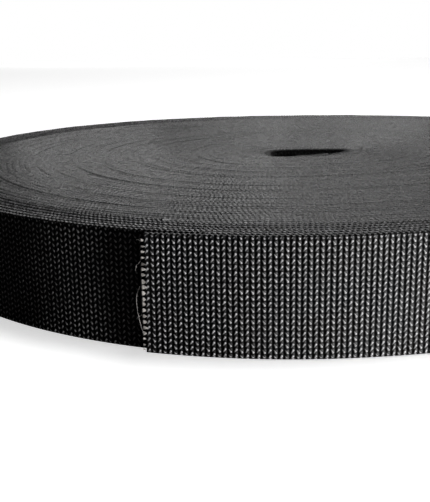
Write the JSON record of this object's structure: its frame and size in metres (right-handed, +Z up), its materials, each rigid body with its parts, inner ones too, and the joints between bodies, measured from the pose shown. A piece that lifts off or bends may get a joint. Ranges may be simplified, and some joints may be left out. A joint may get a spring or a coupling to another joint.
{
  "type": "roll of nylon webbing",
  "caption": "Flat roll of black plain-woven nylon webbing wound round an open slot, lying on its side, with its sealed loose end at the front.",
  "frame": {"origin": "middle of the roll's box, on the surface it lies on", "axes": "+Z up along the roll's axis, -Y towards the side where the cut end lies, +X to the right seen from there"},
  "size_m": [0.2328, 0.217, 0.025],
  "materials": {
    "webbing": "black nylon, plain weave with a soft sheen",
    "webbing_end": "black nylon, plain weave with a soft sheen, heat-sealed at its cut"
  },
  "bodies": {
    "root": {"wound_roll": "webbing", "loose_end": "webbing_end"}
  },
  "joints": []
}
